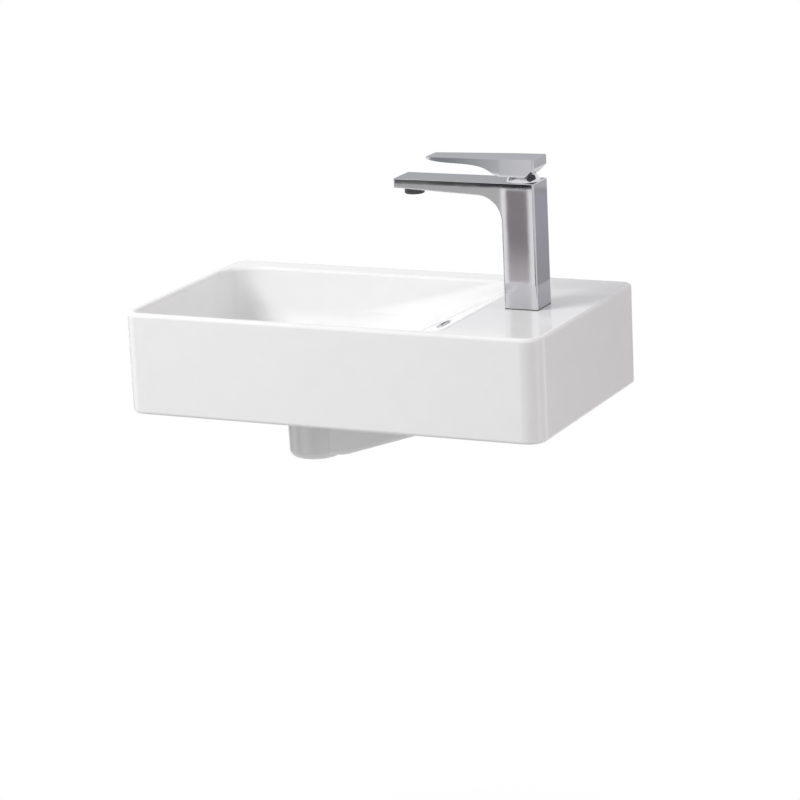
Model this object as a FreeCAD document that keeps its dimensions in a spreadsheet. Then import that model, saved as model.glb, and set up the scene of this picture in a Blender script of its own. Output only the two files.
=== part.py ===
"""Wall hung basin with a side tap deck and a single lever mixer.

Frame: origin midway between the two wall bolt holes on the flat back face, +X to the
right of a person facing the basin, +Y into the wall, +Z up. Millimetres.

The basin is a ceramic casting: a straight skirt round a bowl whose right-hand end rises as
a ramp to the tap deck. The mixer stands on the deck and pours to the left. Its cartridge,
spindle and lever are separate pieces, so that the lever lifts and turns as the real one does.
"""
import FreeCAD, Part
import math
import os
import re
import Sketcher
from FreeCAD import Vector

doc = FreeCAD.newDocument("wall_hung_basin")

# ---------------------------------------------------------------------------
# Driving dimensions, in millimetres and degrees
# ---------------------------------------------------------------------------
DIMENSIONS = {
    # basin block
    "basin_width": 500.0,
    "basin_depth": 282.0,
    "skirt_height": 115.0,
    "front_corner": 21.0,
    "back_corner": 13.0,
    "top_round": 4.5,
    "foot_round": 4.0,
    "skirt_wall": 12.0,
    "hollow_corner": 4.0,
    "deck_thickness": 14.0,
    # bowl
    "rim_left": 9.5,
    "rim_front": 10.0,
    "ledge_back": 30.0,
    "ledge_wall": 10.0,
    "deck_width": 117.0,
    "bowl_depth": 88.0,
    "bowl_blend": 42.0,
    "bowl_front_corner": 16.0,
    "bowl_back_corner": 36.0,
    "bowl_lip": 4.0,
    "bowl_shell": 10.0,
    "ramp_angle": 25.0,
    "scoop_angle": 13.9,
    "scoop_end": 33.0,
    "scoop_side": 12.0,
    "scoop_foot": 24.0,
    "floor_bend": 90.0,
    # drain and overflow
    "drain_from_left": 168.2,
    "drain_bore": 46.0,
    "drain_seat": 64.0,
    "seat_depth": 3.0,
    "boss_width": 65.0,
    "boss_draft": 1.5,
    "boss_drop": 184.3,
    "boss_round": 8.0,
    "keel_width": 36.0,
    "keel_angle": 18.0,
    "keel_rise": 4.8,
    "keel_heel": 8.0,
    "keel_knee": 40.0,
    "keel_round": 6.0,
    "keel_wall": 8.0,
    "passage_height": 24.0,
    "passage_shaft": 20.0,
    "overflow_from_deck": 50.0,
    "overflow_bore": 12.0,
    "ring_width": 18.0,
    "ring_height": 1.8,
    "ring_bevel": 1.4,
    "ring_hole": 9.6,
    "ring_length": 9.0,
    # wall fixing
    "bolt_drop": 85.0,
    "bolt_spacing": 280.0,
    "bolt_hole": 14.0,
    # mixer body
    "tap_from_right": 70.0,
    "tap_setback": 140.0,
    "tap_hole": 35.0,
    "column_side": 39.0,
    "column_height": 138.0,
    "column_round": 2.0,
    "spout_reach": 127.0,
    "spout_tip": 10.6,
    "spout_root": 16.2,
    "spout_edge": 0.8,
    "spout_fillet": 28.0,
    "spout_wall": 3.0,
    "channel_bend": 21.0,
    "channel_high": 11.0,
    "channel_low": 19.0,
    # aerator
    "aerator_inset": 16.5,
    "aerator_width": 22.0,
    "aerator_drop": 7.6,
    "aerator_wall": 1.8,
    "aerator_roof": 4.4,
    "aerator_bevel": 0.7,
    "aerator_recess": 1.6,
    "washer_height": 1.4,
    "washer_bore": 7.0,
    "cell_width": 4.0,
    # mixer fixing under the deck
    "gasket_height": 1.0,
    "gasket_inset": 0.4,
    "shank_width": 33.0,
    "shank_below": 12.0,
    "shank_above": 18.0,
    "inlet_offset": 7.5,
    "inlet_bore": 9.0,
    "inlet_depth": 14.0,
    "waterway": 6.0,
    "stud_offset": 12.0,
    "stud_width": 6.0,
    "stud_length": 48.0,
    "stud_depth": 9.0,
    "stud_play": 0.4,
    "nut_across": 10.0,
    "nut_height": 7.0,
    "clamp_width": 50.0,
    "clamp_slot": 13.0,
    "clamp_gasket_height": 3.0,
    "clamp_plate_height": 2.5,
    # cartridge
    "cartridge_width": 25.0,
    "cartridge_bore": 26.0,
    "well_depth": 38.0,
    "base_height": 5.0,
    "seal_height": 1.6,
    "seal_outside": 8.0,
    "seal_inside": 5.0,
    "housing_height": 26.0,
    "housing_wall": 2.0,
    "housing_roof": 1.7,
    "groove_below_top": 5.2,
    "groove_height": 2.2,
    "groove_depth": 1.1,
    "window_low": 9.5,
    "window_high": 16.0,
    "window_width": 10.0,
    "disc_height": 4.0,
    "disc_inlet": 3.6,
    "disc_outlet": 6.0,
    "port_spread": 5.0,
    "port_back": 4.5,
    "moving_disc_height": 3.5,
    "mixing_depth": 1.6,
    "mixing_wall": 2.5,
    "carrier_foot": 4.0,
    "carrier_step": 2.0,
    "carrier_width": 16.6,
    "carrier_cheek": 0.6,
    "socket_spare": 2.0,
    "turret_flange": 2.8,
    "turret_neck": 16.0,
    "turret_lean_room": 2.2,
    "turret_head": 1.6,
    "pivot_below_top": 6.0,
    "pivot_pin": 3.0,
    "spindle_side": 7.0,
    "spindle_thick": 6.0,
    "spindle_reach": 27.0,
    "spindle_bevel": 0.6,
    "spindle_arm": 9.0,
    "spindle_rod": 2.8,
    "crosshead_width": 4.4,
    "lift_range": 25.0,
    "nut_thread": 28.0,
    "nut_collar": 29.0,
    "nut_collar_height": 3.5,
    "key_slot_width": 4.0,
    "key_slot_depth": 2.3,
    "key_slot_edge": 1.6,
    "dome_radius": 19.5,
    "dome_wall": 1.2,
    "dome_mouth": 20.0,
    # lever
    "lever_back": 20.0,
    "lever_reach": 107.0,
    "lever_width": 38.0,
    "lever_tip_width": 28.0,
    "lever_gap": 6.5,
    "lever_height": 19.5,
    "lever_fall": 1.8,
    "lever_tip": 2.6,
    "lever_nose": 2.0,
    "lever_round": 2.0,
    "lever_waist": 40.0,
    "recess_room": 0.1,
    "screw_width": 5.0,
    "screw_length": 10.0,
    "screw_over_dome": 1.2,
    "screw_key": 2.5,
    "screw_key_depth": 3.0,
    "plug_width": 6.6,
    "plug_length": 4.0,
    "plug_space": 4.0,
    # clearances
    "running_gap": 0.05,
    "slide_gap": 0.3,
}

sheet = doc.addObject("Spreadsheet::Sheet", "Sizes")
for row, (alias, value) in enumerate(DIMENSIONS.items(), start=1):
    sheet.set("A%d" % row, alias)
    sheet.set("B%d" % row, str(value))
    sheet.setAlias("B%d" % row, alias)
doc.recompute()


def size(alias):
    """The sheet's value of one driving dimension."""
    return float(getattr(sheet, alias))


FUNCTIONS = ("sqrt", "sin", "cos", "tan", "deg")


def linked(text):
    """A formula in the sheet's aliases, written as other objects must write it."""
    def prefix(match):
        word = match.group(0)
        return word if word in FUNCTIONS else "Sizes." + word
    return re.sub(r"[a-z][a-z_]+", prefix, text)


def worth(text):
    """The number that a formula in the sheet's aliases gives now."""
    value = sheet.evalExpression(linked(text).replace("Sizes.", ""))
    return float(getattr(value, "Value", value))


def bind(thing, **formulas):
    """Tie properties of an object to formulas; a double underscore stands for a dot."""
    for name, formula in formulas.items():
        thing.setExpression(name.replace("__", "."), linked(formula))
    return thing


# ---------------------------------------------------------------------------
# Places that several sub-parts share
# ---------------------------------------------------------------------------
TAP_X = "basin_width / 2 - tap_from_right"
TAP_Y = "-tap_setback"
TAP_Z = "bolt_drop + gasket_height"
PIVOT_Z = "column_height - pivot_below_top"
DECK_UNDERSIDE = "-gasket_height - deck_thickness"
CLAMP_TOP = DECK_UNDERSIDE + " - clamp_gasket_height"
CLAMP_FOOT = CLAMP_TOP + " - clamp_plate_height"
CARTRIDGE_FLOOR = "column_height - well_depth"
DISC_FLOOR = CARTRIDGE_FLOOR + " + base_height"
AERATOR_X = "column_side / 2 + spout_reach - aerator_inset"
AERATOR_TOP = "column_height - aerator_roof"
SPOUT_FOOT = "column_height - spout_tip - (spout_root - spout_tip) * aerator_inset / spout_reach"

# ---------------------------------------------------------------------------
# Counts, shares and tests that are the same at any size
# ---------------------------------------------------------------------------
LIP_STEPS = 4           # levels through the rim's rounded lip
BLEND_STEPS = 6         # levels through the blend of wall and floor
SHELL_STEPS = 3         # the same on the hidden outside of the bowl
CORNER_SHARE = 0.5      # how much of the blend's inset a corner's radius gives up
SHORTEST_WALL = 5.0     # straight wall left between two corners
CELL_COUNT = 6          # holes round the middle one in the flow insert
CELL_RING = 0.62        # their place as a share of the insert's radius
RECESS_TILTS = (45.0, 67.5, 90.0)   # where the lever's recess touches its sphere
LEVER_SWEEP = ((1.0, 0.0), (0.5, 0.27), (0.33, 0.54), (0.235, 0.87))  # along, down
OVERSHOOT = 1.0         # how far a cutter passes the face that it opens
SAME = 1e-4             # lengths nearer than this are equal


def on_tap(thing):
    """Place a sub-part that is modelled about the mixer's axis, with z = 0 on its gasket."""
    return bind(thing, Placement__Base__x=TAP_X, Placement__Base__y=TAP_Y,
                Placement__Base__z=TAP_Z)


def at_pivot(thing):
    """Place a sub-part that is modelled about the lever's pivot."""
    return bind(thing, Placement__Base__x=TAP_X, Placement__Base__y=TAP_Y,
                Placement__Base__z="%s + %s" % (TAP_Z, PIVOT_Z))


# ---------------------------------------------------------------------------
# Helpers for bodies, sketches and features
# ---------------------------------------------------------------------------
nodes = []


def register(thing, label):
    """Name a finished sub-part and keep it for the export."""
    thing.Label = label
    nodes.append(thing)
    return thing


def new_body(label):
    body = doc.addObject("PartDesign::Body", label)
    return register(body, label)


def sketch_on(body, name, role, lift=None):
    """An empty sketch on one of the body's own origin planes, raised by a formula."""
    sketch = body.newObject("Sketcher::SketchObject", name)
    plane = next(item for item in body.Origin.OriginFeatures if item.Role == role)
    sketch.AttachmentSupport = [(plane, "")]
    sketch.MapMode = "FlatFace"
    if lift:
        bind(sketch, AttachmentOffset__Base__z=lift)
    return sketch


def pin_point(sketch, item, end, place):
    """Fix one end of a sketch line at a place given as two formulas."""
    for kind, formula in (("DistanceX", place[0]), ("DistanceY", place[1])):
        value = worth(formula)
        index = sketch.addConstraint(Sketcher.Constraint(kind, -1, 1, item, end, value))
        sketch.setExpression("Constraints[%d]" % index, linked(formula))


def draw_outline(sketch, places):
    """A closed outline of straight lines through places given as pairs of formulas."""
    spots = [Vector(worth(x), worth(y), 0) for x, y in places]
    first = sketch.GeometryCount
    count = len(spots)
    for index in range(count):
        sketch.addGeometry(Part.LineSegment(spots[index], spots[(index + 1) % count]))
    for index in range(count):
        after = first + (index + 1) % count
        sketch.addConstraint(Sketcher.Constraint("Coincident", first + index, 2, after, 1))
        pin_point(sketch, first + index, 1, places[index])


def draw_circle(sketch, x, y, width):
    """A circle round a place, with its width as a formula."""
    centre = Vector(worth(x), worth(y), 0)
    item = sketch.addGeometry(Part.Circle(centre, Vector(0, 0, 1), worth(width) / 2))
    pin_point(sketch, item, 3, (x, y))
    index = sketch.addConstraint(Sketcher.Constraint("Diameter", item, worth(width)))
    sketch.setExpression("Constraints[%d]" % index, linked(width))


def feature(body, kind, name, profile, **formulas):
    """A PartDesign feature of a sketch, with its sizes bound."""
    made = body.newObject("PartDesign::" + kind, name)
    made.Profile = profile
    bind(made, **formulas)
    return made


def revolved(body, kind, name, sketch):
    """A revolution or groove about the body's own vertical axis."""
    made = body.newObject("PartDesign::" + kind, name)
    made.Profile = sketch
    made.ReferenceAxis = (sketch, ["V_Axis"])
    made.Angle = 360.0
    return made


def drill(body, name, places, width, depth, lift=None, upward=True):
    """Round pockets from a level plane, all of one width and depth."""
    sketch = sketch_on(body, name + "_circles", "XY_Plane", lift)
    for x, y in places:
        draw_circle(sketch, x, y, width)
    pocket = feature(body, "Pocket", name, sketch, Length=depth)
    pocket.Reversed = upward
    return pocket


def slot_through(body, name, places, width):
    """A pocket of a side profile, cut equally to both sides of the body's XZ plane."""
    sketch = sketch_on(body, name + "_profile", "XZ_Plane")
    draw_outline(sketch, places)
    pocket = feature(body, "Pocket", name, sketch, Length=width)
    pocket.Midplane = True
    return pocket


def round_edges(body, name, radius, chosen):
    """A fillet on those edges of the body's last feature that a test picks."""
    doc.recompute()
    base = body.Tip
    picked = ["Edge%d" % number for number, edge in enumerate(base.Shape.Edges, start=1)
              if chosen(edge)]
    fillet = body.newObject("PartDesign::Fillet", name)
    fillet.Base = (base, picked)
    bind(fillet, Radius=radius)
    return fillet


def turned(label, places):
    """A sub-part turned about the mixer's axis from an outline of (radius, height)."""
    body = new_body(label)
    sketch = sketch_on(body, label + "_outline", "XZ_Plane")
    draw_outline(sketch, places)
    revolved(body, "Revolution", label + "_turning", sketch)
    return body


def ring_profile(inner, outer, low, high):
    """The four corners of a plain ring's section."""
    return [(inner, low), (outer, low), (outer, high), (inner, high)]


def runs_along(edge, axis):
    """True if an edge is a straight line along an axis."""
    if not isinstance(edge.Curve, Part.Line):
        return False
    return abs(abs(edge.tangentAt(edge.FirstParameter).dot(axis)) - 1) < 1e-6


def edge_middle(edge):
    return edge.CenterOfMass


# ---------------------------------------------------------------------------
# Basin: lofted bowl in a rounded block, with boss and overflow keel below
# ---------------------------------------------------------------------------
def quarter_ellipse(centre, half_x, half_y, quarter):
    """A quarter of an ellipse about a centre, counted anticlockwise from +X."""
    if half_x >= half_y:
        curve = Part.Ellipse(centre, half_x, half_y)
        start = quarter * math.pi / 2
    else:
        curve = Part.Ellipse(centre + Vector(0, half_y, 0), centre + Vector(-half_x, 0, 0),
                             centre)
        start = (quarter - 1) * math.pi / 2
    return curve.toShape(start, start + math.pi / 2)


def bowl_level(height, grow):
    """The bowl's outline at one height below the rim, or its shell's with grow > 0.

    The left-hand corners are round. The right-hand end is where the ramp reaches this
    height, and its corners are long quarter ellipses, because the blend between ramp and
    wall fades out towards the deck.
    """
    depth = size("bowl_depth") + grow
    blend = size("bowl_blend") + grow
    straight = depth - blend
    ramp = math.radians(size("ramp_angle"))
    sunk = max(0.0, -height - straight)
    inset = blend - math.sqrt(max(0.0, blend ** 2 - sunk ** 2))
    lip = size("bowl_lip")
    flare = 0.0
    if grow == 0 and height > -lip:
        flare = lip - math.sqrt(lip ** 2 - (lip + height) ** 2)
    left = -size("basin_width") / 2 + size("rim_left") - grow + inset - flare
    back = -size("ledge_back") + grow - inset + flare
    front = -size("basin_depth") + size("rim_front") - grow + inset - flare
    deck_x = size("basin_width") / 2 - size("deck_width")
    ramp_foot = deck_x + grow / math.sin(ramp) - depth / math.tan(ramp)
    bend = size("floor_bend")
    bend_start = ramp_foot - bend * math.tan(ramp / 2)
    if height + depth < bend * (1 - math.cos(ramp)):
        right = bend_start + math.sqrt(max(0.0, bend ** 2 - (bend - depth - height) ** 2))
    else:
        right = ramp_foot + (height + depth) / math.tan(ramp)
    right += flare
    scoop = math.tan(math.radians(size("scoop_angle")))
    scoop_low = deck_x - size("scoop_end") - straight / scoop
    if -height <= straight:
        near = deck_x - size("scoop_end") + height / scoop
        share = -height / straight
    else:
        share = 1.0
        fall = (-height - straight) / blend
        near = scoop_low + (bend_start - size("scoop_foot") - scoop_low) * fall

    def left_corner(alias):
        """A left-hand corner's radius, which grows to the floor blend's down the wall."""
        radius = size(alias) + (size("bowl_blend") - size(alias)) * share + grow
        return radius - CORNER_SHARE * inset
    first = left_corner("bowl_front_corner")
    last = left_corner("bowl_back_corner")
    side = size("scoop_side") + (size("bowl_blend") - size("scoop_side")) * share
    side += CORNER_SHARE * grow
    near = max(near, left + max(first, last) + SHORTEST_WALL)
    z = height
    edges = [
        Part.makeLine(Vector(left, back - last, z), Vector(left, front + first, z)),
        quarter_ellipse(Vector(left + first, front + first, z), first, first, 2),
        Part.makeLine(Vector(left + first, front, z), Vector(near, front, z)),
        quarter_ellipse(Vector(near, front + side, z), right - near, side, 3),
        Part.makeLine(Vector(right, front + side, z), Vector(right, back - side, z)),
        quarter_ellipse(Vector(near, back - side, z), right - near, side, 0),
        Part.makeLine(Vector(near, back, z), Vector(left + last, back, z)),
        quarter_ellipse(Vector(left + last, back - last, z), last, last, 1),
    ]
    return Part.Wire(edges)


def quarter_turns(steps):
    """Equal steps from nought to a right angle, in radians."""
    return [math.pi / 2 * step / steps for step in range(steps + 1)]


def bowl_solid(grow):
    """The bowl's hollow, or with grow > 0 the outside of its shell, as lofts end to end."""
    depth = size("bowl_depth") + grow
    blend = size("bowl_blend") + grow
    straight = depth - blend
    turns = quarter_turns(SHELL_STEPS if grow else BLEND_STEPS)
    curved = [-straight - blend * math.sin(turn) for turn in turns]
    pieces = []
    wall_top = 0.0
    if grow == 0:
        lip = size("bowl_lip")
        edge = [-lip * (1 - math.cos(turn)) for turn in quarter_turns(LIP_STEPS)]
        pieces.append(Part.makeLoft([bowl_level(z, grow) for z in edge], True, False))
        wall_top = -lip
    walls = [bowl_level(z, grow) for z in (wall_top, -straight)]
    pieces.append(Part.makeLoft(walls, True, True))
    pieces.append(Part.makeLoft([bowl_level(z, grow) for z in curved], True, False))
    return pieces[0].fuse(pieces[1:])


def rounded_block(corners, low, high):
    """A block with upright corners rounded, from (x, y, radius) corners in order."""
    count = len(corners)
    tangents = []
    for index, (x, y, radius) in enumerate(corners):
        before = corners[index - 1]
        after = corners[(index + 1) % count]
        here = Vector(x, y, low)
        back = (Vector(before[0], before[1], low) - here).normalize()
        onward = (Vector(after[0], after[1], low) - here).normalize()
        half = back.getAngle(onward) / 2
        bisector = (back + onward).normalize()
        reach = radius / math.tan(half)
        middle = here + bisector * (radius / math.sin(half) - radius)
        tangents.append((here + back * reach, middle, here + onward * reach))
    edges = []
    for index, (start, middle, end) in enumerate(tangents):
        edges.append(Part.Arc(start, middle, end).toShape())
        edges.append(Part.makeLine(end, tangents[(index + 1) % count][0]))
    return Part.Face(Part.Wire(edges)).extrude(Vector(0, 0, high - low))


def outer_block():
    """The basin's outside: flat back, rounded front corners, softened top and foot."""
    half = size("basin_width") / 2
    deep = size("basin_depth")
    front = size("front_corner")
    back = size("back_corner")
    corners = [(-half, 0, back), (-half, -deep, front), (half, -deep, front), (half, 0, back)]
    block = rounded_block(corners, -size("skirt_height"), 0.0)

    def on_level(edge, level):
        box = edge.BoundBox
        return abs(box.ZMin - level) < SAME and abs(box.ZMax - level) < SAME

    top = [edge for edge in block.Edges if on_level(edge, 0.0)]
    block = block.makeFillet(size("top_round"), top)
    foot = [edge for edge in block.Edges if on_level(edge, -size("skirt_height"))
            and edge.BoundBox.YMin < -SAME]
    return block.makeFillet(size("foot_round"), foot)


def side_plate(outline, middle_y, thickness):
    """An upright plate of an (x, z) outline, centred on a plane y = middle_y."""
    y = middle_y - thickness / 2
    points = [Vector(x, y, z) for x, z in outline]
    face = Part.Face(Part.makePolygon(points + points[:1]))
    return face.extrude(Vector(0, thickness, 0))


def bowl_middle():
    """Half way between the bowl's front and back walls."""
    return -(size("ledge_back") + size("basin_depth") - size("rim_front")) / 2


def drain_x():
    return -size("basin_width") / 2 + size("drain_from_left")


def overflow_place():
    """The overflow's centre on the ramp, and the ramp's upward normal there."""
    ramp = math.radians(size("ramp_angle"))
    deck_x = size("basin_width") / 2 - size("deck_width")
    run = size("overflow_from_deck")
    centre = Vector(deck_x - run, bowl_middle(), -run * math.tan(ramp))
    return centre, Vector(-math.sin(ramp), 0, math.cos(ramp))


def keel_heel():
    """Where the overflow casting's lower side starts to rise."""
    return drain_x() + size("boss_width") / 2 + size("keel_heel")


def keel_foot(x):
    """Height of the overflow casting's lower side: level to its heel, then rising."""
    rise = max(0.0, x - keel_heel()) * math.tan(math.radians(size("keel_angle")))
    return size("keel_rise") - size("boss_drop") + rise


def keel_end():
    """Far end of the casting, one wall past where the sloping bore enters the shaft."""
    centre, _ = overflow_place()
    ramp = math.radians(size("ramp_angle"))
    drift = size("passage_height") * math.tan(ramp)
    half_bore = size("overflow_bore") / 2 / math.cos(ramp)
    return centre.x + drift + half_bore + OVERSHOOT + size("keel_wall")


def overflow_keel():
    """The casting round the overflow duct, with a soft knee and soft lower edges."""
    centre, _ = overflow_place()
    start, end = drain_x(), keel_end()
    heel = keel_heel()
    plate = side_plate([(start, keel_foot(start)), (heel, keel_foot(heel)),
                        (end, keel_foot(end)), (end, centre.z), (start, centre.z)],
                       bowl_middle(), size("keel_width"))
    knee = [edge for edge in plate.Edges if runs_along(edge, Vector(0, 1, 0))
            and abs(edge_middle(edge).x - heel) < SAME]
    plate = plate.makeFillet(size("keel_knee"), knee)
    lower = [edge for edge in plate.Edges if edge.BoundBox.ZMax < centre.z - SAME
             and not runs_along(edge, Vector(0, 1, 0))]
    return plate.makeFillet(size("keel_round"), lower)


def overflow_passage():
    """The duct inside the keel: down from the overflow and along to the drain bore."""
    centre, _ = overflow_place()
    tall = size("passage_height")
    floor = size("keel_wall") + size("keel_round")
    start = drain_x() + size("boss_width") / 4
    heel = keel_heel()
    far = keel_end() - size("keel_wall")
    near = far - size("passage_shaft")
    top = centre.z - tall
    lower = [(x, keel_foot(x) + floor) for x in (start, heel, far)]
    upper = [(x, keel_foot(x) + floor + tall) for x in (near, heel, start)]
    outline = lower + [(far, top), (near, top)] + upper
    return side_plate(outline, bowl_middle(), size("keel_width") - 2 * size("keel_wall"))


def overflow_hole():
    """The bore from the ramp's face down into the passage."""
    centre, normal = overflow_place()
    radius = size("overflow_bore") / 2
    length = (size("passage_height") - radius * normal.x) / normal.z
    return Part.makeCylinder(radius, length + 2 * OVERSHOOT, centre + normal * OVERSHOOT,
                             -normal)


def drain_boss():
    """The round boss that the waste passes through, with a rounded lower edge."""
    radius = size("boss_width") / 2
    low = -size("boss_drop")
    high = -size("bowl_depth") - size("bowl_shell") / 2
    boss = Part.makeCone(radius - size("boss_draft"), radius, high - low,
                         Vector(drain_x(), bowl_middle(), low))
    rim = [edge for edge in boss.Edges
           if edge.BoundBox.ZMax < low + SAME and isinstance(edge.Curve, Part.Circle)]
    return boss.makeFillet(size("boss_round"), rim)


def hollow_below():
    """The space inside the skirt, outside the bowl's shell and behind a solid ledge."""
    half = size("basin_width") / 2
    wall = size("skirt_wall")
    deep = size("basin_depth")
    back = size("hollow_corner")
    front = max(back, size("front_corner") - wall)
    corners = [(-half + wall, -wall, back), (-half + wall, -deep + wall, front),
               (half - wall, -deep + wall, front), (half - wall, -wall, back)]
    space = rounded_block(corners, -size("skirt_height") - OVERSHOOT, -size("deck_thickness"))
    ledge_foot = size("bowl_blend") - size("bowl_depth") - size("ledge_wall")
    ledge = Part.makeBox(size("basin_width") - size("deck_width"), size("ledge_back"),
                         -ledge_foot, Vector(-half, -size("ledge_back"), ledge_foot))
    return space.cut([bowl_solid(size("bowl_shell")), ledge])


def upright_hole(width, x, y, low, high):
    """A round cutter that passes a wall between two heights with some overshoot."""
    return Part.makeCylinder(width / 2, high - low + 2 * OVERSHOOT,
                             Vector(x, y, low - OVERSHOOT))


def make_basin():
    middle = bowl_middle()
    shape = outer_block().cut(hollow_below())
    shape = shape.fuse([drain_boss(), overflow_keel()])
    seat_z = -size("bowl_depth") - size("seat_depth")
    tap_x = size("basin_width") / 2 - size("tap_from_right")
    cutters = [
        bowl_solid(0),
        overflow_passage(),
        overflow_hole(),
        upright_hole(size("drain_bore"), drain_x(), middle, -size("boss_drop"), seat_z),
        Part.makeCylinder(size("drain_seat") / 2, size("bowl_depth"),
                          Vector(drain_x(), middle, seat_z)),
        upright_hole(size("tap_hole"), tap_x, -size("tap_setback"), -size("deck_thickness"), 0),
    ]
    for side in (-1, 1):
        start = Vector(side * size("bolt_spacing") / 2, OVERSHOOT, -size("bolt_drop"))
        cutters.append(Part.makeCylinder(size("bolt_hole") / 2,
                                         size("skirt_wall") + 2 * OVERSHOOT, start,
                                         Vector(0, -1, 0)))
    for cutter in cutters:
        shape = shape.cut(cutter)
    basin = doc.addObject("Part::Feature", "basin")
    basin.Shape = shape.removeSplitter()
    bind(basin, Placement__Base__z="bolt_drop")
    return register(basin, "basin")


def make_overflow_ring():
    """A chromed ring pressed into the overflow hole, with a bevelled flange."""
    wide = "ring_width / 2"
    bore = "ring_hole / 2"
    neck = "overflow_bore / 2"
    ring = turned("overflow_ring", [
        (bore, "-ring_length"), (neck, "-ring_length"), (neck, "0"), (wide, "0"),
        (wide, "ring_height / 4"), (wide + " - ring_bevel", "ring_height"),
        (bore + " + ring_bevel / 2", "ring_height"), (bore, "ring_height / 2")])
    ring.Placement = FreeCAD.Placement(Vector(), FreeCAD.Rotation(Vector(0, -1, 0),
                                                                  size("ramp_angle")))
    return bind(ring, Placement__Rotation__Angle="ramp_angle * 1 deg",
                Placement__Base__x="basin_width / 2 - deck_width - overflow_from_deck",
                Placement__Base__y="-(ledge_back + basin_depth - rim_front) / 2",
                Placement__Base__z="bolt_drop - overflow_from_deck * tan(ramp_angle * 1 deg)")


# ---------------------------------------------------------------------------
# Mixer body, aerator and what holds them on the deck
# ---------------------------------------------------------------------------
def make_tap_body():
    """Column and spout as one casting, bored for the cartridge, waterways and aerator."""
    body = new_body("tap_body")
    half = "column_side / 2"
    tip = "-column_side / 2 - spout_reach"
    side = sketch_on(body, "side_view", "XZ_Plane")
    draw_outline(side, [(tip, "column_height"), (tip, "column_height - spout_tip"),
                        ("-" + half, "column_height - spout_root"), ("-" + half, "0"),
                        (half, "0"), (half, "column_height")])
    pad = feature(body, "Pad", "casting", side, Length="column_side")
    pad.Midplane = True
    root = Vector(-size("column_side") / 2, 0, size("column_height") - size("spout_root"))
    across = Vector(0, 1, 0)
    upright = Vector(0, 0, 1)
    round_edges(body, "spout_root_fillet", "spout_fillet",
                lambda edge: runs_along(edge, across) and
                (edge_middle(edge) - root).Length < SAME)
    round_edges(body, "column_corners", "column_round", lambda edge: runs_along(edge, upright))
    round_edges(body, "top_edges", "spout_edge",
                lambda edge: edge.BoundBox.ZMin > size("column_height") - SAME)
    drill(body, "cartridge_well", [("0", "0")], "cartridge_bore", "well_depth",
          "column_height", upward=False)
    drill(body, "nut_thread_bore", [("0", "0")], "nut_thread",
          "well_depth - base_height - housing_height", "column_height", upward=False)
    well = "-cartridge_bore / 2 + spout_wall"
    roof = "column_height - spout_wall"
    slot_through(body, "spout_channel", [
        (tip + " + aerator_inset", roof),
        (tip + " + aerator_inset", "column_height - spout_tip + spout_wall"),
        ("-column_side / 2 - channel_bend", "column_height - spout_root + spout_wall"),
        (well, "column_height - channel_low"), (well, "column_height - channel_high"),
        ("-column_side / 2 - channel_bend", roof)], "column_side / 2")
    drill(body, "aerator_socket", [("-(%s)" % AERATOR_X, "0")], "aerator_width", AERATOR_TOP)
    drill(body, "shank_socket", [("0", "0")], "shank_width", "shank_above")
    drill(body, "waterways", [("0", "inlet_offset"), ("0", "-inlet_offset")], "waterway",
          CARTRIDGE_FLOOR + " + running_gap")
    return on_tap(body)


def make_aerator():
    """Threaded sleeve, flow insert and washer in the socket at the end of the spout."""
    foot = SPOUT_FOOT + " - aerator_drop"
    bore = "aerator_width / 2 - aerator_wall"
    outside = "aerator_width / 2"
    seat = AERATOR_TOP + " - washer_height"
    washer = turned("aerator_washer", ring_profile("washer_bore / 2", outside, seat, AERATOR_TOP))
    sleeve = turned("aerator_sleeve", [
        (bore, foot + " + aerator_bevel"), (bore + " + aerator_bevel", foot),
        (outside + " - aerator_bevel", foot), (outside, foot + " + aerator_bevel"),
        (outside, seat), (bore, seat)])
    face = foot + " + aerator_recess"
    insert = turned("aerator_insert", [("0", face), (bore, face), (bore, seat), ("0", seat)])
    cells = sketch_on(insert, "cells", "XY_Plane")
    draw_circle(cells, "0", "0", "cell_width")
    for index in range(CELL_COUNT):
        angle = 360 * index / CELL_COUNT
        draw_circle(cells, "(%s) * %.2f * cos(%g deg)" % (bore, CELL_RING, angle),
                    "(%s) * %.2f * sin(%g deg)" % (bore, CELL_RING, angle), "cell_width")
    holes = feature(insert, "Pocket", "cell_holes", cells, Length="column_height")
    holes.Reversed = True
    for piece in (washer, sleeve, insert):
        on_tap(piece)
        bind(piece, Placement__Base__x="%s - (%s)" % (TAP_X, AERATOR_X))


def make_shank():
    """Brass foot of the mixer: two threaded hose inlets and two stud holes."""
    body = turned("inlet_shank", [("0", "-shank_below"), ("shank_width / 2", "-shank_below"),
                                  ("shank_width / 2", "shank_above"), ("0", "shank_above")])
    inlets = [("0", "inlet_offset"), ("0", "-inlet_offset")]
    drill(body, "hose_threads", inlets, "inlet_bore", "inlet_depth", "-shank_below")
    drill(body, "shank_waterways", inlets, "waterway", "shank_below + shank_above + 1",
          "-shank_below")
    drill(body, "stud_holes", [("stud_offset", "0"), ("-stud_offset", "0")], "stud_width",
          "stud_depth", "-shank_below")
    return on_tap(body)


def make_gasket():
    """Square seal under the column, open over the tap hole."""
    body = new_body("base_gasket")
    half = "(column_side / 2 - gasket_inset)"
    outline = sketch_on(body, "gasket_square", "XY_Plane", "-gasket_height")
    draw_outline(outline, [("-" + half, "-" + half), (half, "-" + half), (half, half),
                           ("-" + half, half)])
    draw_circle(outline, "0", "0", "tap_hole")
    feature(body, "Pad", "gasket_sheet", outline, Length="gasket_height")
    return on_tap(body)


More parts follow.
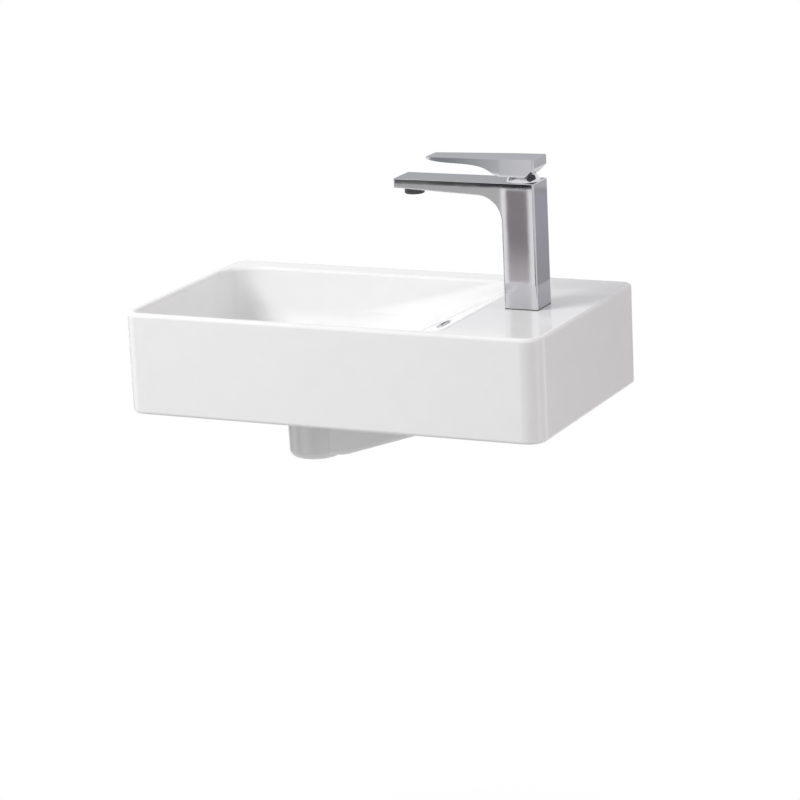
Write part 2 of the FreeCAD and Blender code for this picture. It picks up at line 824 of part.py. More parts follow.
def horseshoe(label, top, height):
    """A round plate with a slot for the hoses and a hole for each stud."""
    body = turned(label, [("0", "%s - %s" % (top, height)),
                          ("clamp_width / 2", "%s - %s" % (top, height)),
                          ("clamp_width / 2", top), ("0", top)])
    slot = sketch_on(body, label + "_slot", "XY_Plane", top)
    reach = "inlet_offset + clamp_slot / 2"
    draw_outline(slot, [("-clamp_slot / 2", "-(%s)" % reach), ("clamp_slot / 2", "-(%s)" % reach),
                        ("clamp_slot / 2", "clamp_width"), ("-clamp_slot / 2", "clamp_width")])
    feature(body, "Pocket", label + "_opening", slot, Length=height)
    drill(body, label + "_stud_holes", [("stud_offset", "0"), ("-stud_offset", "0")],
          "stud_width + stud_play", height, top, upward=False)
    return on_tap(body)


def compound(label, parts):
    """Several equal pieces in one node, as separate solids."""
    group = doc.addObject("Part::Compound", label)
    group.Links = parts
    return register(on_tap(group), label)


def make_fixings():
    """Studs and long nuts that draw the clamp up against the deck's underside."""
    horseshoe("clamp_gasket", DECK_UNDERSIDE, "clamp_gasket_height")
    horseshoe("clamp_plate", CLAMP_TOP, "clamp_plate_height")
    studs = []
    nuts = []
    for name, x in (("left", "-stud_offset"), ("right", "stud_offset")):
        stud = doc.addObject("Part::Cylinder", "stud_" + name)
        bind(stud, Radius="stud_width / 2", Height="stud_length", Placement__Base__x=x,
             Placement__Base__z="stud_depth - shank_below - stud_length")
        studs.append(stud)
        hexagon = doc.addObject("Part::Prism", "hexagon_" + name)
        hexagon.Polygon = 6
        bind(hexagon, Circumradius="nut_across / sqrt(3)", Height="nut_height",
             Placement__Base__x=x, Placement__Base__z="%s - nut_height" % CLAMP_FOOT)
        hole = doc.addObject("Part::Cylinder", "nut_hole_" + name)
        bind(hole, Radius="stud_width / 2", Height="nut_height", Placement__Base__x=x,
             Placement__Base__z="%s - nut_height" % CLAMP_FOOT)
        nut = doc.addObject("Part::Cut", "nut_" + name)
        nut.Base = hexagon
        nut.Tool = hole
        nuts.append(nut)
    compound("fixing_studs", studs)
    compound("fixing_nuts", nuts)


# ---------------------------------------------------------------------------
# Cartridge: what stands still
# ---------------------------------------------------------------------------
def make_seals():
    """The two rings that seal the hot and cold ways against the cartridge's base."""
    seals = []
    for name, y in (("hot", "inlet_offset"), ("cold", "-inlet_offset")):
        outer = doc.addObject("Part::Cylinder", "seal_outer_" + name)
        inner = doc.addObject("Part::Cylinder", "seal_inner_" + name)
        for ring, width in ((outer, "seal_outside"), (inner, "seal_inside")):
            bind(ring, Radius=width + " / 2", Height="seal_height", Placement__Base__y=y,
                 Placement__Base__z=CARTRIDGE_FLOOR)
        seal = doc.addObject("Part::Cut", "seal_" + name)
        seal.Base = outer
        seal.Tool = inner
        seals.append(seal)
    compound("cartridge_seals", seals)


def make_housing(floor, top):
    """The cartridge's shell, with an outlet window and a groove for its seal."""
    outside = "cartridge_width / 2"
    inside = "(cartridge_width / 2 - housing_wall)"
    mouth = "turret_neck / 2 + slide_gap"
    groove = outside + " - groove_depth"
    groove_top = top + " - groove_below_top"
    groove_foot = groove_top + " - groove_height"
    housing = turned("cartridge_housing", [
        (inside, floor), (outside, floor), (outside, groove_foot), (groove, groove_foot),
        (groove, groove_top), (outside, groove_top), (outside, top), (mouth, top),
        (mouth, top + " - housing_roof"), (inside, top + " - housing_roof")])
    window = sketch_on(housing, "outlet_window", "XZ_Plane")
    low, high = floor + " + window_low", floor + " + window_high"
    depth = "-(%s) + 2 * housing_wall" % inside
    draw_outline(window, [("-cartridge_width", low), (depth, low), (depth, high),
                          ("-cartridge_width", high)])
    opening = feature(housing, "Pocket", "outlet_opening", window, Length="window_width")
    opening.Midplane = True
    on_tap(housing)
    ring = turned("housing_seal", ring_profile(groove, "cartridge_bore / 2",
                                               groove_foot + " + running_gap",
                                               groove_top + " - running_gap"))
    on_tap(ring)


def make_retaining_nut(low):
    """Threaded ring that holds the cartridge down, with four key slots in its collar."""
    top = "column_height + nut_collar_height"
    bore = "turret_neck / 2 + slide_gap"
    nut = turned("retaining_nut", [
        (bore, low), ("nut_thread / 2", low), ("nut_thread / 2", "column_height"),
        ("nut_collar / 2", "column_height"), ("nut_collar / 2", top), (bore, top)])
    notch = sketch_on(nut, "key_slots", "XZ_Plane")
    inner, outer = bore + " + key_slot_edge", "nut_collar / 2 - key_slot_edge"
    foot = top + " - key_slot_depth"
    above = top + " + key_slot_depth"
    draw_outline(notch, [(inner, foot), (outer, foot), (outer, above), (inner, above)])
    key = feature(nut, "Pocket", "key_slot", notch, Length="key_slot_width")
    key.Midplane = True
    pattern = nut.newObject("PartDesign::PolarPattern", "key_slot_ring")
    pattern.Originals = [key]
    axis = next(item for item in nut.Origin.OriginFeatures if item.Role == "Z_Axis")
    pattern.Axis = (axis, [""])
    pattern.Angle = 360.0
    pattern.Occurrences = 4
    nut.Tip = pattern
    on_tap(nut)


def make_cartridge():
    """Base, seals, housing and fixed disc, clamped in the column by the retaining nut."""
    inlets = [("0", "inlet_offset"), ("0", "-inlet_offset")]
    base = turned("cartridge_base", [("0", CARTRIDGE_FLOOR),
                                     ("cartridge_width / 2", CARTRIDGE_FLOOR),
                                     ("cartridge_width / 2", DISC_FLOOR), ("0", DISC_FLOOR)])
    drill(base, "base_ports", inlets, "seal_inside", "base_height", CARTRIDGE_FLOOR)
    drill(base, "base_seal_seats", inlets, "seal_outside", "seal_height", CARTRIDGE_FLOOR)
    on_tap(base)
    make_seals()
    housing_top = DISC_FLOOR + " + housing_height"
    make_housing(DISC_FLOOR, housing_top)

    inside = "(cartridge_width / 2 - housing_wall)"
    top = DISC_FLOOR + " + disc_height"
    disc = turned("fixed_disc", [("0", DISC_FLOOR), (inside, DISC_FLOOR), (inside, top),
                                 ("0", top)])
    drill(disc, "disc_inlets", [("-port_back", "port_spread"), ("-port_back", "-port_spread")],
          "disc_inlet", "disc_height", DISC_FLOOR)
    drill(disc, "disc_outlet", [("port_spread", "0")], "disc_outlet", "disc_height", DISC_FLOOR)
    on_tap(disc)
    make_retaining_nut(housing_top)


def make_dome():
    """Thin spherical cover about the pivot, screwed over the retaining nut's collar."""
    radius = size("dome_radius")
    inner = radius - size("dome_wall")
    rise = size("pivot_below_top")
    shelf = rise + size("nut_collar_height")
    mouth = size("dome_mouth") / 2
    collar = size("nut_collar") / 2
    low_out = Vector(math.sqrt(radius ** 2 - rise ** 2), 0, rise)
    high_out = Vector(mouth, 0, math.sqrt(radius ** 2 - mouth ** 2))
    high_in = Vector(mouth, 0, math.sqrt(inner ** 2 - mouth ** 2))
    low_in = Vector(math.sqrt(inner ** 2 - shelf ** 2), 0, shelf)
    middle_out = (low_out + high_out).normalize() * radius
    edges = [
        Part.makeLine(Vector(collar, 0, rise), low_out),
        Part.Arc(low_out, middle_out, high_out).toShape(),
        Part.makeLine(high_out, high_in),
        Part.makeLine(high_in, low_in),
        Part.makeLine(low_in, Vector(collar, 0, shelf)),
        Part.makeLine(Vector(collar, 0, shelf), Vector(collar, 0, rise)),
    ]
    dome = doc.addObject("Part::Feature", "dome_cover")
    dome.Shape = Part.Face(Part.Wire(edges)).revolve(Vector(0, 0, 0), Vector(0, 0, 1), 360)
    return register(at_pivot(dome), "dome_cover")


# ---------------------------------------------------------------------------
# Cartridge: what turns, lifts and slides
# ---------------------------------------------------------------------------
def leaned():
    """Turn about the pivot that puts the spindle in its lever-down position."""
    lean = math.radians(size("lift_range") / 2)
    return FreeCAD.Rotation(Vector(0, 0, 1), Vector(-math.sin(lean), 0, math.cos(lean)))


def make_turret():
    """The slotted post that turns with the lever and carries its pivot pin."""
    under = "%s + housing_height - housing_roof - slide_gap" % DISC_FLOOR
    flange = "(cartridge_width / 2 - housing_wall - slide_gap)"
    neck = "turret_neck / 2"
    top = PIVOT_Z + " + pivot_pin / 2 + turret_head"
    foot = under + " - turret_flange"
    turret = turned("turret", [("0", foot), (flange, foot), (flange, under), (neck, under),
                               (neck, top), ("0", top)])
    opening = "(spindle_side / 2 + turret_lean_room)"
    slot_through(turret, "spindle_slot", [
        ("-" + opening, CARTRIDGE_FLOOR), (opening, CARTRIDGE_FLOOR),
        (opening, "column_height * 2"), ("-" + opening, "column_height * 2")],
        "spindle_thick + 2 * slide_gap")
    circle = sketch_on(turret, "pin_circle", "XZ_Plane")
    draw_circle(circle, "0", PIVOT_Z, "pivot_pin")
    bore = feature(turret, "Pocket", "pin_bore", circle, Length="turret_neck * 2")
    bore.Midplane = True
    on_tap(turret)


def make_pivot_pin():
    pin = new_body("pivot_pin")
    circle = sketch_on(pin, "pin_section", "XZ_Plane")
    draw_circle(circle, "0", PIVOT_Z, "pivot_pin")
    shaft = feature(pin, "Pad", "pin_length", circle, Length="turret_neck - 1")
    shaft.Midplane = True
    on_tap(pin)


def make_spindle():
    """Square blade up into the lever, and a rod with a crosshead down into the carrier."""
    side = size("spindle_side")
    thick = size("spindle_thick")
    reach = size("spindle_reach")
    arm = size("spindle_arm")
    blade = Part.makeBox(side, thick, reach + side / 2,
                         Vector(-side / 2, -thick / 2, -side / 2))
    blade = blade.makeChamfer(size("spindle_bevel"), [edge for edge in blade.Edges
                                                      if edge.BoundBox.ZMin > reach - SAME])
    rod = Part.makeCylinder(size("spindle_rod") / 2, arm, Vector(0, 0, -arm))
    crosshead = Part.makeCylinder(size("crosshead_width") / 2, thick,
                                  Vector(0, -thick / 2, -arm), Vector(0, 1, 0))
    hole = Part.makeCylinder(size("pivot_pin") / 2 + size("running_gap"), 2 * thick,
                             Vector(0, -thick, 0), Vector(0, 1, 0))
    spindle = doc.addObject("Part::Feature", "spindle")
    spindle.Shape = blade.fuse([rod, crosshead]).cut(hole)
    spindle.Placement = FreeCAD.Placement(Vector(), leaned())
    register(at_pivot(spindle), "spindle")


def make_valve():
    """The moving disc and the carrier that the spindle's crosshead pushes to and fro."""
    disc_foot = "%s + disc_height" % DISC_FLOOR
    disc_top = disc_foot + " + moving_disc_height"
    slid = "%s + spindle_arm * sin(lift_range * 0.5 deg)" % TAP_X
    outside = "carrier_width / 2"
    disc = turned("moving_disc", [("0", disc_foot), (outside, disc_foot), (outside, disc_top),
                                  ("0", disc_top)])
    drill(disc, "mixing_pocket", [("0", "0")], "carrier_width - 2 * mixing_wall",
          "mixing_depth", disc_foot)
    on_tap(disc)
    bind(disc, Placement__Base__x=slid)

    head_z = PIVOT_Z + " - spindle_arm * cos(lift_range * 0.5 deg)"
    top = "%s + crosshead_width / 2 + carrier_cheek" % head_z
    waist = outside + " - carrier_step"
    shoulder = disc_top + " + carrier_foot"
    carrier = turned("disc_carrier", [
        ("0", disc_top), (outside, disc_top), (outside, shoulder),
        (waist, shoulder + " + carrier_step"), (waist, top), ("0", top)])
    wide = "(crosshead_width / 2 + slide_gap)"
    long = "(spindle_thick / 2 + slide_gap)"
    socket = sketch_on(carrier, "socket_outline", "XY_Plane", top)
    draw_outline(socket, [("-" + wide, "-" + long), (wide, "-" + long), (wide, long),
                          ("-" + wide, long)])
    feature(carrier, "Pocket", "crosshead_socket", socket,
            Length="crosshead_width + socket_spare")
    on_tap(carrier)
    bind(carrier, Placement__Base__x=slid)


# ---------------------------------------------------------------------------
# Lever
# ---------------------------------------------------------------------------
def banded_hollow(reach, low):
    """A turned hollow of flat bands, each of which touches a sphere from outside."""
    tilts = [math.radians(angle) for angle in RECESS_TILTS]
    first = tilts[0]
    places = [Vector(0, 0, low),
              Vector((reach - low * math.sin(first)) / math.cos(first), 0, low)]
    for lower, upper in zip(tilts, tilts[1:]):
        stretch = reach / math.cos((upper - lower) / 2)
        middle = (upper + lower) / 2
        places.append(Vector(stretch * math.cos(middle), 0, stretch * math.sin(middle)))
    places.append(Vector(0, 0, reach))
    face = Part.Face(Part.makePolygon(places + places[:1]))
    return face.revolve(Vector(0, 0, 0), Vector(0, 0, 1), 360)


def lever_blank():
    """The lever's side view, swept underneath, within its tapered plan. Pivot at origin."""
    low = size("pivot_below_top") + size("lever_gap")
    high = low + size("lever_height")
    back = size("lever_back")
    reach = size("lever_reach")
    half = size("lever_width") / 2
    slope = size("lever_fall") / (back + reach)

    def under_top(x, drop):
        """A place a given drop below the sloping top."""
        return Vector(x, -half, high - slope * (back - x) - drop)
    hub = -size("column_side") / 2
    shoulder = Vector(back, -half, (low + high) / 2)
    sweep = Part.BSplineCurve()
    tip = size("lever_tip")
    knots = [under_top(-reach * along, tip + down * (size("lever_height") - tip))
             for along, down in LEVER_SWEEP]
    knots.append(Vector(hub, -half, low))
    sweep.interpolate(knots)
    nose = under_top(-reach - size("lever_nose"), 0)
    hub_back = Vector(back / 2, -half, low)
    top_back = under_top(back, 0)
    corners = [knots[-1], hub_back, shoulder, top_back, nose, knots[0]]
    edges = [sweep.toShape()]
    edges += [Part.makeLine(start, end) for start, end in zip(corners, corners[1:])]
    side_view = Part.Face(Part.Wire(edges)).extrude(Vector(0, 2 * half, 0))
    far = -reach - size("lever_nose")
    end = size("lever_tip_width") / 2
    soft = size("lever_round")
    waist = size("lever_waist")
    plan = rounded_block([(back, -half, soft), (back, half, soft), (hub, half, waist),
                          (far, end, soft), (far, -end, soft), (hub, -half, waist)],
                         low - OVERSHOOT, high + OVERSHOOT)
    return side_view.common(plan)


def screw_face():
    """Where the set screw meets the spindle: its place along x and its height."""
    lean = math.radians(size("lift_range") / 2)
    level = size("dome_radius") + size("screw_over_dome")
    contact = level + size("screw_width") / 2
    return -contact * math.tan(lean) - size("spindle_side") / 2 / math.cos(lean), level


def make_lever():
    """Flat-topped lever whose underside sweeps down to a hub over the dome."""
    face_x, level = screw_face()
    plug_x = face_x - size("screw_length") - size("plug_space")
    forward = Vector(-1, 0, 0)
    recess = banded_hollow(size("dome_radius") + size("slide_gap") + size("recess_room"),
                           size("pivot_below_top"))
    socket = Part.makeBox(size("spindle_side"), size("spindle_thick"), size("spindle_reach"),
                          Vector(-size("spindle_side") / 2, -size("spindle_thick") / 2, 0))
    socket.Placement = FreeCAD.Placement(Vector(), leaned())
    screw_hole = Part.makeCylinder(size("screw_width") / 2, size("lever_reach"),
                                   Vector(0, 0, level), forward)
    plug_hole = Part.makeCylinder(size("plug_width") / 2, size("lever_reach"),
                                  Vector(plug_x, 0, level), forward)
    lever = doc.addObject("Part::Feature", "lever_handle")
    lever.Shape = lever_blank().cut([recess, socket, screw_hole, plug_hole])
    register(at_pivot(lever), "lever_handle")

    screw = doc.addObject("Part::Feature", "set_screw")
    thread = Part.makeCylinder(size("screw_width") / 2, size("screw_length"),
                               Vector(face_x, 0, level), forward)
    key = size("screw_key")
    deep = size("screw_key_depth")
    socket = Part.makeBox(deep, key, key, Vector(face_x - size("screw_length"), -key / 2,
                                                 level - key / 2))
    screw.Shape = thread.cut(socket)
    register(at_pivot(screw), "set_screw")

    plug = doc.addObject("Part::Feature", "index_plug")
    plug.Shape = Part.makeCylinder(size("plug_width") / 2, size("plug_length"),
                                   Vector(plug_x, 0, level), forward)
    register(at_pivot(plug), "index_plug")


make_basin()
make_overflow_ring()
make_tap_body()
make_aerator()
make_shank()
make_gasket()
make_fixings()
make_cartridge()
make_dome()
make_turret()
make_pivot_pin()
make_spindle()
make_valve()
make_lever()

doc.recompute()


# ---------------------------------------------------------------------------
# Test every object, then write one file for each sub-part
# ---------------------------------------------------------------------------
for thing in doc.Objects:
    if "Invalid" in thing.State or "Error" in thing.State:
        raise RuntimeError("%s failed: %s" % (thing.Label, thing.State))
for node in nodes:
    if node.Shape.isNull() or not node.Shape.isValid():
        raise RuntimeError("%s has no valid shape" % node.Label)

os.makedirs("parts", exist_ok=True)
for node in nodes:
    node.Shape.exportStep(os.path.join("parts", node.Label + ".step"))
    print(node.Label, len(node.Shape.Solids), "solid(s)", round(node.Shape.Volume, 1), "mm3")
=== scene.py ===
# %% [markdown]
# # A wall hung basin with a side tap deck
# The real thing is a block of glazed vitreous china, cast in a plaster mould, with a chromed
# single lever mixer standing on a deck at the right-hand end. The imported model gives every
# solid at its real size, so this lesson starts from those solids and gives them a finish, a
# light and a camera. One piece is made anew: the thread on the two studs under the deck.

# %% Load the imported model
import math
import bmesh
import bpy
import numpy as np
from mathutils import Matrix, Vector


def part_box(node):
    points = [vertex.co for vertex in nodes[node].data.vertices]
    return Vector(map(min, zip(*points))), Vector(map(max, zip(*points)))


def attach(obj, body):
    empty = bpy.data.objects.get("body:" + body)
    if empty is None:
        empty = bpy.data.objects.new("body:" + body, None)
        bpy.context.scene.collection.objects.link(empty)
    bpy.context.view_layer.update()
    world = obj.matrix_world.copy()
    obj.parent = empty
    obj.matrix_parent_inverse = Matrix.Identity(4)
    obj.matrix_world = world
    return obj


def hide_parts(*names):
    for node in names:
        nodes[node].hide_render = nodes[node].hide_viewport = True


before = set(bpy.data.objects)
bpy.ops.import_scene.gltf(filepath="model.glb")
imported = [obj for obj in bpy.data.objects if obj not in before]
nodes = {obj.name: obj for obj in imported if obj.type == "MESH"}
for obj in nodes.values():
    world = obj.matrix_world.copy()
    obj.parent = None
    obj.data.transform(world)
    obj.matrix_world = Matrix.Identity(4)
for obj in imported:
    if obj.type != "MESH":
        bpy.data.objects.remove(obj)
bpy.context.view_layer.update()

# %% [markdown]
# ## The camera
# The photograph was taken from the front right, a little above the rim, through a long lens.
# A camera could be placed by eye, but its place can be worked out: the straight edges of the
# block have known sizes, and only one camera sees them where the photograph does. The answer
# is a yaw, a pitch, a small roll and a focal length. A camera in Blender looks along its own
# -Z, so the three columns of its matrix are right, up and backwards.

# %% Put the camera where the photograph was taken
CAMERA_PLACE = Vector((1.4983, -3.1832, 0.8599))
CAMERA_YAW = math.radians(25.91)
CAMERA_PITCH = math.radians(14.77)
CAMERA_ROLL = math.radians(-2.73)
FOCAL_PIXELS = 3129.0
PHOTO_PIXELS = 800.0
SENSOR_WIDTH = 36.0


def camera_matrix(place, yaw, pitch, roll):
    """Forward is turned by the yaw from +Y and tipped down by the pitch; then a roll about it."""
    forward = Vector((-math.sin(yaw) * math.cos(pitch), math.cos(yaw) * math.cos(pitch),
                      -math.sin(pitch)))
    level = Vector((math.cos(yaw), math.sin(yaw), 0.0))
    upward = level.cross(forward)
    across = level * math.cos(roll) + upward * math.sin(roll)
    top = upward * math.cos(roll) - level * math.sin(roll)
    turn = Matrix((across, top, -forward)).transposed()
    return Matrix.Translation(place) @ turn.to_4x4()


lens = bpy.data.cameras.new("studio_camera")
lens.sensor_width = SENSOR_WIDTH
lens.lens = FOCAL_PIXELS / PHOTO_PIXELS * SENSOR_WIDTH
camera = bpy.data.objects.new("studio_camera", lens)
camera.matrix_world = camera_matrix(CAMERA_PLACE, CAMERA_YAW, CAMERA_PITCH, CAMERA_ROLL)
bpy.context.scene.collection.objects.link(camera)
bpy.context.scene.camera = camera
print("lens", round(lens.lens, 1), "mm")

# %% [markdown]
# ## Helpers for materials
# Every colour below is an sRGB hex value, as a paint program shows it, and one function turns
# it into the linear light that Blender mixes. A second small function adds any node, sets its
# properties and sockets, and links what feeds it, so that a material reads as a list of its
# steps. Lengths in patterns are given in millimetres.

# %% Colour and node helpers
MILLIMETRE = 0.001


def linear(code):
    """The sRGB curve undone: below 0.04045 a straight line, above it a power of 2.4."""
    channels = [int(code[index:index + 2], 16) / 255.0 for index in (1, 3, 5)]
    low = [value / 12.92 for value in channels]
    high = [((value + 0.055) / 1.055) ** 2.4 for value in channels]
    return [h if c > 0.04045 else l for c, l, h in zip(channels, low, high)] + [1.0]


def add_node(tree, kind, settings=None, **sockets):
    """A node of any kind; a socket given an output of another node is linked, else set.
    A socket is named with _ for a space, or by its number after a leading _."""
    made = tree.nodes.new(kind)
    for name, value in (settings or {}).items():
        setattr(made, name, value)
    for name, value in sockets.items():
        key = int(name[1:]) if name[0] == "_" else name.replace("_", " ")
        if isinstance(value, bpy.types.NodeSocket):
            tree.links.new(value, made.inputs[key])
        else:
            made.inputs[key].default_value = value
    return made


def new_material(name):
    """An empty node material with only its output left."""
    made = bpy.data.materials.new(name)
    made.use_nodes = True
    made.node_tree.nodes.clear()
    return made, made.node_tree, made.node_tree.nodes.new("ShaderNodeOutputMaterial")


print("white is", [round(v, 3) for v in linear("#FFFFFF")])

# %% [markdown]
# ## Helpers for surfaces
# A surface can be modelled by hand, by modifiers or by a formula. Here it is a formula of two
# parameters, u and v, worked out for a whole grid at once with numpy. The grid's cells become
# the faces, and where the surface goes round, as on a rod, its last row meets its first.

# %% Grids of points and their faces


def flat_patch(corner, along, across, steps):
    """Point(u, v) is corner + u * along + v * across, with u and v from 0 to 1 on a grid."""
    u, v = np.meshgrid(np.linspace(0.0, 1.0, steps + 1), np.linspace(0.0, 1.0, steps + 1),
                       indexing="ij")
    points = np.array(corner) + u[..., None] * np.array(along) + v[..., None] * np.array(across)
    return points, np.stack((u, v), axis=-1)


def grid_faces(rows, columns, closed=False):
    """Four corners of each cell of a grid of points; closed joins the last row to the first."""
    i, j = np.meshgrid(np.arange(rows - (not closed)), np.arange(columns - 1), indexing="ij")
    i, j = i.ravel(), j.ravel()
    after_i = (i + 1) % rows
    return np.stack((i * columns + j, after_i * columns + j, after_i * columns + j + 1,
                     i * columns + j + 1), axis=1)


def new_object(name, points, faces):
    """A mesh from whole arrays of points and faces, linked to the scene."""
    mesh = bpy.data.meshes.new(name)
    mesh.from_pydata(points.reshape(-1, 3).tolist(), [], faces.tolist())
    mesh.update()
    made = bpy.data.objects.new(name, mesh)
    bpy.context.scene.collection.objects.link(made)
    return made


print("a grid of 3 by 4 points has", len(grid_faces(3, 4)), "faces")

# %% [markdown]
# ## The floor
# A hand basin hangs about 0.85 m above the floor, so the pale floor lies that far down. The
# photograph's page is white. More light would burn out the white glaze, so the floor is made
# white another way: to the camera and in every mirror it is nearly all white glow, and the
# rest is matt paint that keeps the soft shadow of the basin. From underneath the floor is
# clear, which leaves the underside of the basin in sight.

# %% Lay the floor
RIM_HEIGHT = 0.085
RIM_OVER_FLOOR = 0.85
FLOOR_LEVEL = RIM_HEIGHT - RIM_OVER_FLOOR
FLOOR_HALF = 40.0

points, _ = flat_patch((-FLOOR_HALF, -FLOOR_HALF, FLOOR_LEVEL), (2 * FLOOR_HALF, 0.0, 0.0),
                       (0.0, 2 * FLOOR_HALF, 0.0), 1)
floor = new_object("studio_floor", points, grid_faces(2, 2))
print("floor at", round(FLOOR_LEVEL, 3), "m")

# %% Which rays see the white page


def eye_or_mirror(tree):
    """1 for a ray from the camera, off a mirror or through glass, and 0 for plain light."""
    path = add_node(tree, "ShaderNodeLightPath")
    reflected = add_node(tree, "ShaderNodeMath", {"operation": "MAXIMUM"},
                         _0=path.outputs["Is Camera Ray"], _1=path.outputs["Is Glossy Ray"])
    shown = add_node(tree, "ShaderNodeMath", {"operation": "MAXIMUM"},
                     _0=reflected.outputs[0], _1=path.outputs["Is Transmission Ray"])
    return shown.outputs[0]


print("the camera, mirrors and glass see a white page")

# %% Paint the floor
SHADOW_NEAR = 0.15
SHADOW_FAR = 0.60
GLOW_UNDER_BASIN = 0.85

floor_paint, tree, output = new_material("studio_floor_paint")
spot = add_node(tree, "ShaderNodeTexCoord").outputs["Object"]
flat = add_node(tree, "ShaderNodeVectorMath", {"operation": "MULTIPLY"}, _0=spot,
                _1=(1.0, 1.0, 0.0))
away = add_node(tree, "ShaderNodeVectorMath", {"operation": "LENGTH"}, _0=flat.outputs[0])
share = add_node(tree, "ShaderNodeMapRange", {"interpolation_type": "SMOOTHSTEP"},
                 Value=away.outputs["Value"], From_Min=SHADOW_NEAR, From_Max=SHADOW_FAR,
                 To_Min=GLOW_UNDER_BASIN, To_Max=1.0)
glow = add_node(tree, "ShaderNodeMath", {"operation": "MULTIPLY"}, _0=eye_or_mirror(tree),
                _1=share.outputs[0])
pale = add_node(tree, "ShaderNodeBsdfDiffuse", Color=linear("#C8C8C8"))
white = add_node(tree, "ShaderNodeEmission", Color=linear("#FFFFFF"), Strength=1.0)
painted = add_node(tree, "ShaderNodeMixShader", _0=glow.outputs[0], _1=pale.outputs[0],
                   _2=white.outputs[0])
clear = add_node(tree, "ShaderNodeBsdfTransparent")
beneath = add_node(tree, "ShaderNodeNewGeometry").outputs["Backfacing"]
both_sides = add_node(tree, "ShaderNodeMixShader", _0=beneath, _1=painted.outputs[0],
                      _2=clear.outputs[0])
tree.links.new(both_sides.outputs[0], output.inputs["Surface"])
floor.data.materials.append(floor_paint)
print("shadow kept within", SHADOW_FAR, "m")

# %% [markdown]
# ## The light
# One large soft box stands above and to the left, as the bright front and the darker right end
# of the basin show, and a weak one fills from the far right. A soft box could be a glowing
# plane, but an area lamp gives the same soft edge with less grain. Mirrors don't see the two
# lamps: their hard square would burn a line into every round edge of the glaze, so a softer
# card stands in for the first one there.

# %% Two soft boxes
STUDIO_AIM = Vector((0.0, -0.14, 0.0))
LAMPS = {
    # name: (place, width in metres, power in watts, colour)
    "key_light": ((-1.6, -1.8, 2.0), 1.3, 58.0, "#FFFFFF"),
    "fill_light": ((2.6, -0.6, 0.60), 1.5, 13.0, "#FFF4F4"),
}


def soft_box(name, place, width, power, code):
    """A square lamp that faces the middle of the studio and that mirrors don't see."""
    lamp = bpy.data.lights.new(name, "AREA")
    lamp.shape = "SQUARE"
    lamp.size = width
    lamp.energy = power
    lamp.color = linear(code)[:3]
    made = bpy.data.objects.new(name, lamp)
    made.location = place
    made.rotation_euler = (STUDIO_AIM - Vector(place)).to_track_quat("-Z", "Y").to_euler()
    made.visible_glossy = False
    bpy.context.scene.collection.objects.link(made)
    return made


lamps = [soft_box(name, *values) for name, values in LAMPS.items()]
print(len(lamps), "soft boxes")

# %% [markdown]
# ## The walls
# Pale walls stand all round. They could be built, but a world does the same: plain white to
# the camera and in mirrors, and a soft grey light to everything else, so that the white glaze
# keeps its shading.

# %% Pale walls all round
WALL_GLOW = 0.78

world = bpy.data.worlds.new("studio_walls")
bpy.context.scene.world = world
world.use_nodes = True
tree = world.node_tree
tree.nodes.clear()
page = add_node(tree, "ShaderNodeBackground", Color=linear("#FFFFFF"), Strength=1.0)
walls = add_node(tree, "ShaderNodeBackground", Color=linear("#D9D9DC"), Strength=WALL_GLOW)
mixed = add_node(tree, "ShaderNodeMixShader", _0=eye_or_mirror(tree), _1=walls.outputs[0],
                 _2=page.outputs[0])
output = add_node(tree, "ShaderNodeOutputWorld", Surface=mixed.outputs[0])
bpy.context.scene.view_settings.view_transform = "Standard"
print("walls glow at", WALL_GLOW)

# %% [markdown]
# ## Cards for the chrome
# Chrome has no colour of its own: it shows whatever stands round it, and in a white room it
# would vanish. Photographers stand grey and black cards beside it, so each flat face of the tap
# gets a card where its mirror image lies. Painting the bands on the chrome would be quicker,
# but they would not move as the eye does. The cards exist in mirrors alone: they cast no
# shadow, give no light and are not seen. Each is a grid with its two parameters kept as a UV
# map, and its paper turns from one colour to another along u and fades out towards its edges.

# %% The paper of a card


def card_paper(name, near, far, reach, size, feather, strength):
    """Glow of one colour turning into another by u = reach, clear within a feather of an edge."""
    made, tree, output = new_material(name)
    place = add_node(tree, "ShaderNodeUVMap", {"uv_map": "card"}).outputs["UV"]
    axes = add_node(tree, "ShaderNodeSeparateXYZ", Vector=place)
    turn = add_node(tree, "ShaderNodeMapRange", {"interpolation_type": "SMOOTHSTEP"},
                    Value=axes.outputs["X"], From_Max=reach)
    tint = add_node(tree, "ShaderNodeMix", {"data_type": "RGBA"}, _0=turn.outputs[0],
                    _6=linear(near), _7=linear(far))
    glow = add_node(tree, "ShaderNodeEmission", Color=tint.outputs[2], Strength=strength)
    edges = []
    for axis, length in zip("XY", size):  # how far in from the nearer edge, from 0 to a half
        from_edge = add_node(tree, "ShaderNodeMath", {"operation": "PINGPONG"},
                             _0=axes.outputs[axis], _1=0.5)
        edges.append(add_node(tree, "ShaderNodeMapRange", {"interpolation_type": "SMOOTHSTEP"},
                              Value=from_edge.outputs[0],
                              From_Max=min(feather / length, 0.49)).outputs[0])
    inside = add_node(tree, "ShaderNodeMath", {"operation": "MULTIPLY"}, _0=edges[0],
                      _1=edges[1])
    clear = add_node(tree, "ShaderNodeBsdfTransparent")
    both = add_node(tree, "ShaderNodeMixShader", _0=inside.outputs[0], _1=clear.outputs[0],
                    _2=glow.outputs[0])
    tree.links.new(both.outputs[0], output.inputs["Surface"])
    return made


print("a card's paper follows its UV map")

# %% A card that only mirrors see
CARD_STEPS = 8
UNSEEN_BY = ("camera", "diffuse", "transmission", "volume_scatter", "shadow")


def hide_but_in_mirrors(piece):
    """Hidden from every ray but the one that a mirror sends on."""
    for ray in UNSEEN_BY:
        setattr(piece, "visible_" + ray, False)


